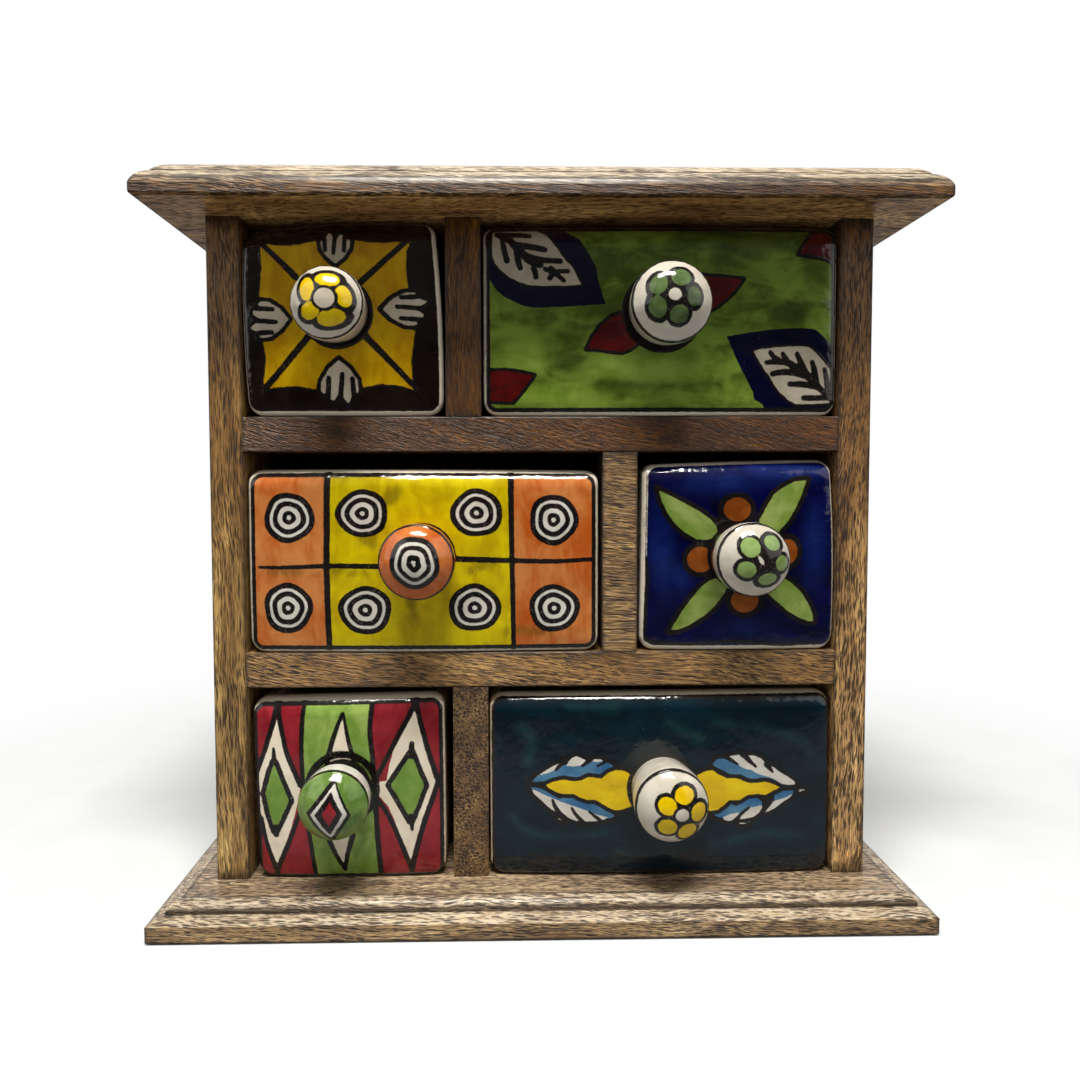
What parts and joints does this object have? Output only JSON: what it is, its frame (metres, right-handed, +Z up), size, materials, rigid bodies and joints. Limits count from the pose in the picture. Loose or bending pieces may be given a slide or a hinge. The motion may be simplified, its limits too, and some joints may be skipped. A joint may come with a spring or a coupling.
{
  "type": "jewelry drawer chest",
  "caption": "Small wooden tabletop chest whose glazed ceramic drawers, staggered in rows, each slide out by a round knob to hold jewellery.",
  "frame": {"origin": "centre of the base board's underside, where the chest stands on the table", "axes": "+X to the right as seen from the front, +Y from the front to the back, +Z up"},
  "size_m": [0.2852, 0.1245, 0.2772],
  "materials": {
    "mango_wood": "oiled, scorched along the edges",
    "plywood": "raw",
    "steel": "zinc plated",
    "glaze_mustard": "hand-painted under a clear glaze",
    "glaze_olive": "hand-painted under a clear glaze",
    "glaze_yellow_orange": "hand-painted under a clear glaze",
    "glaze_cobalt": "hand-painted under a clear glaze",
    "glaze_red_green": "hand-painted under a clear glaze",
    "glaze_teal": "hand-painted under a clear glaze",
    "glaze_white": "clear glaze over white",
    "glaze_orange": "hand-painted under a clear glaze",
    "glaze_green": "hand-painted under a clear glaze"
  },
  "bodies": {
    "case": {"base_board": "mango_wood", "top_board": "mango_wood", "left_side": "mango_wood", "right_side": "mango_wood", "shelf_lower": "mango_wood", "shelf_upper": "mango_wood", "divider_bottom": "mango_wood", "divider_middle": "mango_wood", "divider_top": "mango_wood", "back_panel": "plywood", "base_screws": "steel", "top_nails": "steel", "shelf_nails": "steel", "divider_nails": "steel", "back_tacks": "steel"},
    "top_left_drawer": {"drawer_top_left": "glaze_mustard", "knob_top_left": "glaze_white", "stud_top_left": "steel", "washer_top_left": "steel", "nut_top_left": "steel"},
    "top_right_drawer": {"drawer_top_right": "glaze_olive", "knob_top_right": "glaze_white", "stud_top_right": "steel", "washer_top_right": "steel", "nut_top_right": "steel"},
    "middle_left_drawer": {"drawer_middle_left": "glaze_yellow_orange", "knob_middle_left": "glaze_orange", "stud_middle_left": "steel", "washer_middle_left": "steel", "nut_middle_left": "steel"},
    "middle_right_drawer": {"drawer_middle_right": "glaze_cobalt", "knob_middle_right": "glaze_white", "stud_middle_right": "steel", "washer_middle_right": "steel", "nut_middle_right": "steel"},
    "bottom_left_drawer": {"drawer_bottom_left": "glaze_red_green", "knob_bottom_left": "glaze_green", "stud_bottom_left": "steel", "washer_bottom_left": "steel", "nut_bottom_left": "steel"},
    "bottom_right_drawer": {"drawer_bottom_right": "glaze_teal", "knob_bottom_right": "glaze_white", "stud_bottom_right": "steel", "washer_bottom_right": "steel", "nut_bottom_right": "steel"}
  },
  "joints": [
    {"name": "top_left_slide", "type": "slide", "parent": "case", "child": "top_left_drawer", "axis": [0, -1, 0], "range_m": [0, 0.07]},
    {"name": "top_right_slide", "type": "slide", "parent": "case", "child": "top_right_drawer", "axis": [0, -1, 0], "range_m": [0, 0.07]},
    {"name": "middle_left_slide", "type": "slide", "parent": "case", "child": "middle_left_drawer", "axis": [0, -1, 0], "range_m": [0, 0.07]},
    {"name": "middle_right_slide", "type": "slide", "parent": "case", "child": "middle_right_drawer", "axis": [0, -1, 0], "range_m": [0, 0.07]},
    {"name": "bottom_left_slide", "type": "slide", "parent": "case", "child": "bottom_left_drawer", "axis": [0, -1, 0], "range_m": [0, 0.07]},
    {"name": "bottom_right_slide", "type": "slide", "parent": "case", "child": "bottom_right_drawer", "axis": [0, -1, 0], "range_m": [0, 0.07]}
  ]
}
